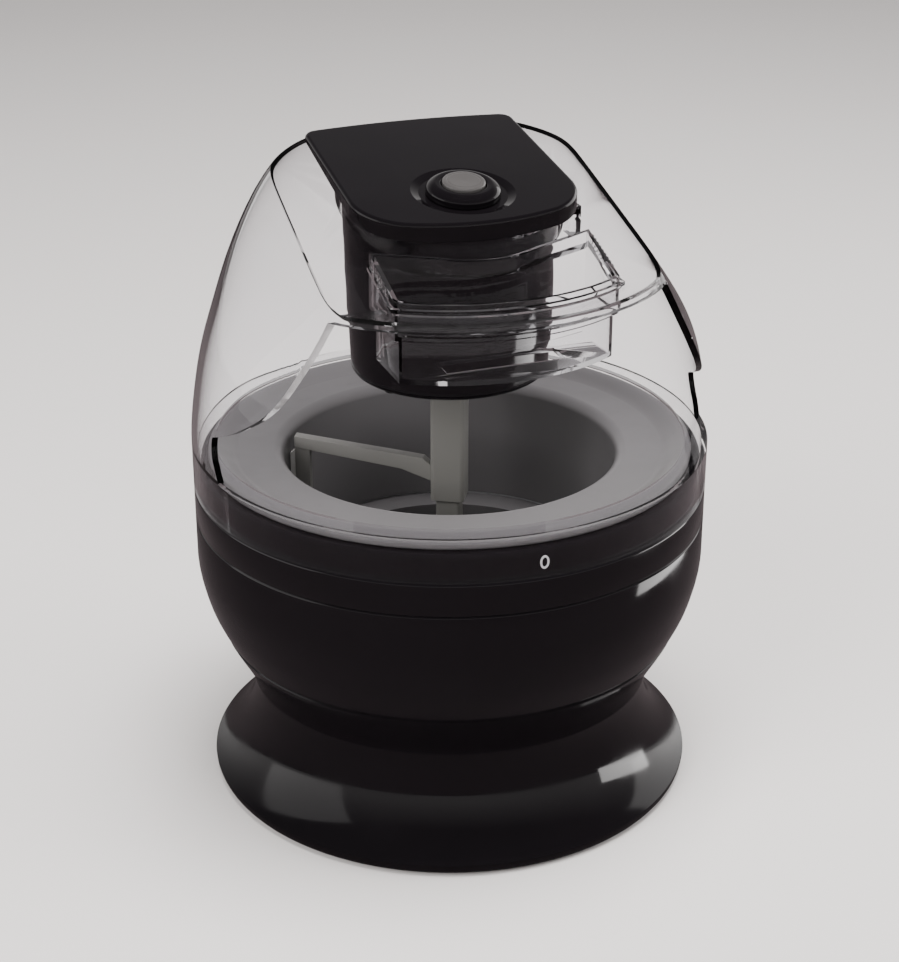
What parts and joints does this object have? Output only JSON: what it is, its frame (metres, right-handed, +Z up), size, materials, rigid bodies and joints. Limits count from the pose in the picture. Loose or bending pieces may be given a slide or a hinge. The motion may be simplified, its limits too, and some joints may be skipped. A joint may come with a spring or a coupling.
{
  "type": "ice cream maker",
  "caption": "Gel-canister ice cream maker: gloss black pedestal base, two-part freezer canister, clear domed lid with open front and chute, lift-off motor unit and paddle.",
  "frame": {"origin": "on the floor under the machine's round axis", "axes": "+Z up along the paddle's axis; -Y towards the front, where the lid is open and the chute and button are"},
  "size_m": [0.232, 0.232, 0.2932],
  "materials": {
    "gloss_black": "glossy moulded black plastic",
    "inner_black": "satin moulded black plastic",
    "rubber": "matt black rubber",
    "steel": "plated steel",
    "mark_white": "light grey mark",
    "canister_grey": "satin light grey plastic",
    "canister_black": "satin black plastic",
    "gel": "frozen blue gel",
    "seal_grey": "soft grey silicone",
    "clear_plastic": "clear moulded plastic with a faint violet-grey tint",
    "button_silver": "silver-grey painted plastic",
    "switch_plastic": "black switch housing",
    "bronze": "sintered bronze",
    "lamination": "stacked electrical steel, varnished",
    "copper": "enamelled copper wire",
    "gear_nylon": "natural nylon",
    "paddle_grey": "warm light grey moulded plastic",
    "strip_grey": "soft grey wiper strip"
  },
  "bodies": {
    "base": {"base_foot": "gloss_black", "base_bowl": "gloss_black", "base_collar": "gloss_black", "base_liner": "inner_black", "base_plate": "inner_black", "rubber_feet": "rubber", "plate_screws": "steel", "seam_screws": "steel", "lock_mark": "mark_white"},
    "canister_lower": {"cup_inner": "canister_grey", "cup_outer": "canister_black", "cup_gel": "gel", "canister_seal": "seal_grey"},
    "canister_upper": {"upper_rim": "canister_grey", "upper_wall": "canister_black", "upper_gel": "gel"},
    "lid": {"lid": "clear_plastic"},
    "chute": {"ingredient_chute": "clear_plastic"},
    "motor_unit": {"motor_body": "gloss_black", "motor_cover": "gloss_black", "button_bezel": "gloss_black", "power_switch": "switch_plastic", "switch_brackets": "steel", "cord_gland": "rubber", "lower_gear_plate": "steel", "upper_gear_plate": "steel", "gear_pins": "steel", "plate_spacers": "steel", "output_bush": "bronze", "rotor_bushes": "bronze", "shaft_seal": "rubber", "lamination_stack": "lamination", "field_coil": "copper", "upper_bridge": "steel", "motor_screws": "steel", "stack_spacers": "steel", "gearbox_screws": "steel"},
    "button": {"power_button": "button_silver"},
    "rotor": {"rotor_core": "lamination", "rotor_shaft": "steel", "rotor_pinion": "steel"},
    "first_gear": {"first_gear": "gear_nylon"},
    "second_gear": {"second_gear": "gear_nylon"},
    "output": {"output_gear": "gear_nylon", "output_shaft": "steel"},
    "paddle": {"paddle": "paddle_grey", "scraper_strips": "strip_grey"}
  },
  "joints": [
    {"name": "canister_lift", "type": "slide", "parent": "base", "child": "canister_lower", "axis": [0, 0, 1], "range_m": [0, 0.14]},
    {"name": "upper_half_lift", "type": "slide", "parent": "canister_lower", "child": "canister_upper", "axis": [0, 0, 1], "range_m": [0, 0.08]},
    {"name": "lid_lift", "type": "slide", "parent": "canister_upper", "child": "lid", "axis": [0, 0, 1], "range_m": [0, 0.12]},
    {"name": "chute_lift", "type": "slide", "parent": "lid", "child": "chute", "axis": [0, 0, 1], "range_m": [0, 0.06]},
    {"name": "motor_lift", "type": "slide", "parent": "lid", "child": "motor_unit", "axis": [0, 0, 1], "range_m": [0, 0.11]},
    {"name": "button_press", "type": "slide", "parent": "motor_unit", "child": "button", "axis": [0, 0.1676, -0.9859], "range_m": [0, 0.002], "stiffness_N_per_m": 900, "springref_m": -0.0005},
    {"name": "rotor_spin", "type": "hinge", "parent": "motor_unit", "child": "rotor", "pos_m": [0, 0.004, 0.245], "axis": [0, 0, 1], "continuous": true},
    {"name": "first_gear_spin", "type": "hinge", "parent": "motor_unit", "child": "first_gear", "pos_m": [-0.01732, 0.014, 0.218], "axis": [0, 0, 1], "continuous": true},
    {"name": "second_gear_spin", "type": "hinge", "parent": "motor_unit", "child": "second_gear", "pos_m": [0, 0.024, 0.212], "axis": [0, 0, 1], "continuous": true},
    {"name": "output_spin", "type": "hinge", "parent": "motor_unit", "child": "output", "pos_m": [0, 0, 0.205], "axis": [0, 0, 1], "continuous": true},
    {"name": "paddle_spin", "type": "hinge", "parent": "canister_lower", "child": "paddle", "pos_m": [0, 0, 0.1], "axis": [0, 0, 1], "continuous": true}
  ],
  "couplings": [
    {"joint": "first_gear_spin", "follows": "rotor_spin", "ratio": -0.25},
    {"joint": "second_gear_spin", "follows": "rotor_spin", "ratio": 0.0625},
    {"joint": "output_spin", "follows": "rotor_spin", "ratio": -0.015625},
    {"joint": "paddle_spin", "follows": "rotor_spin", "ratio": -0.015625}
  ]
}
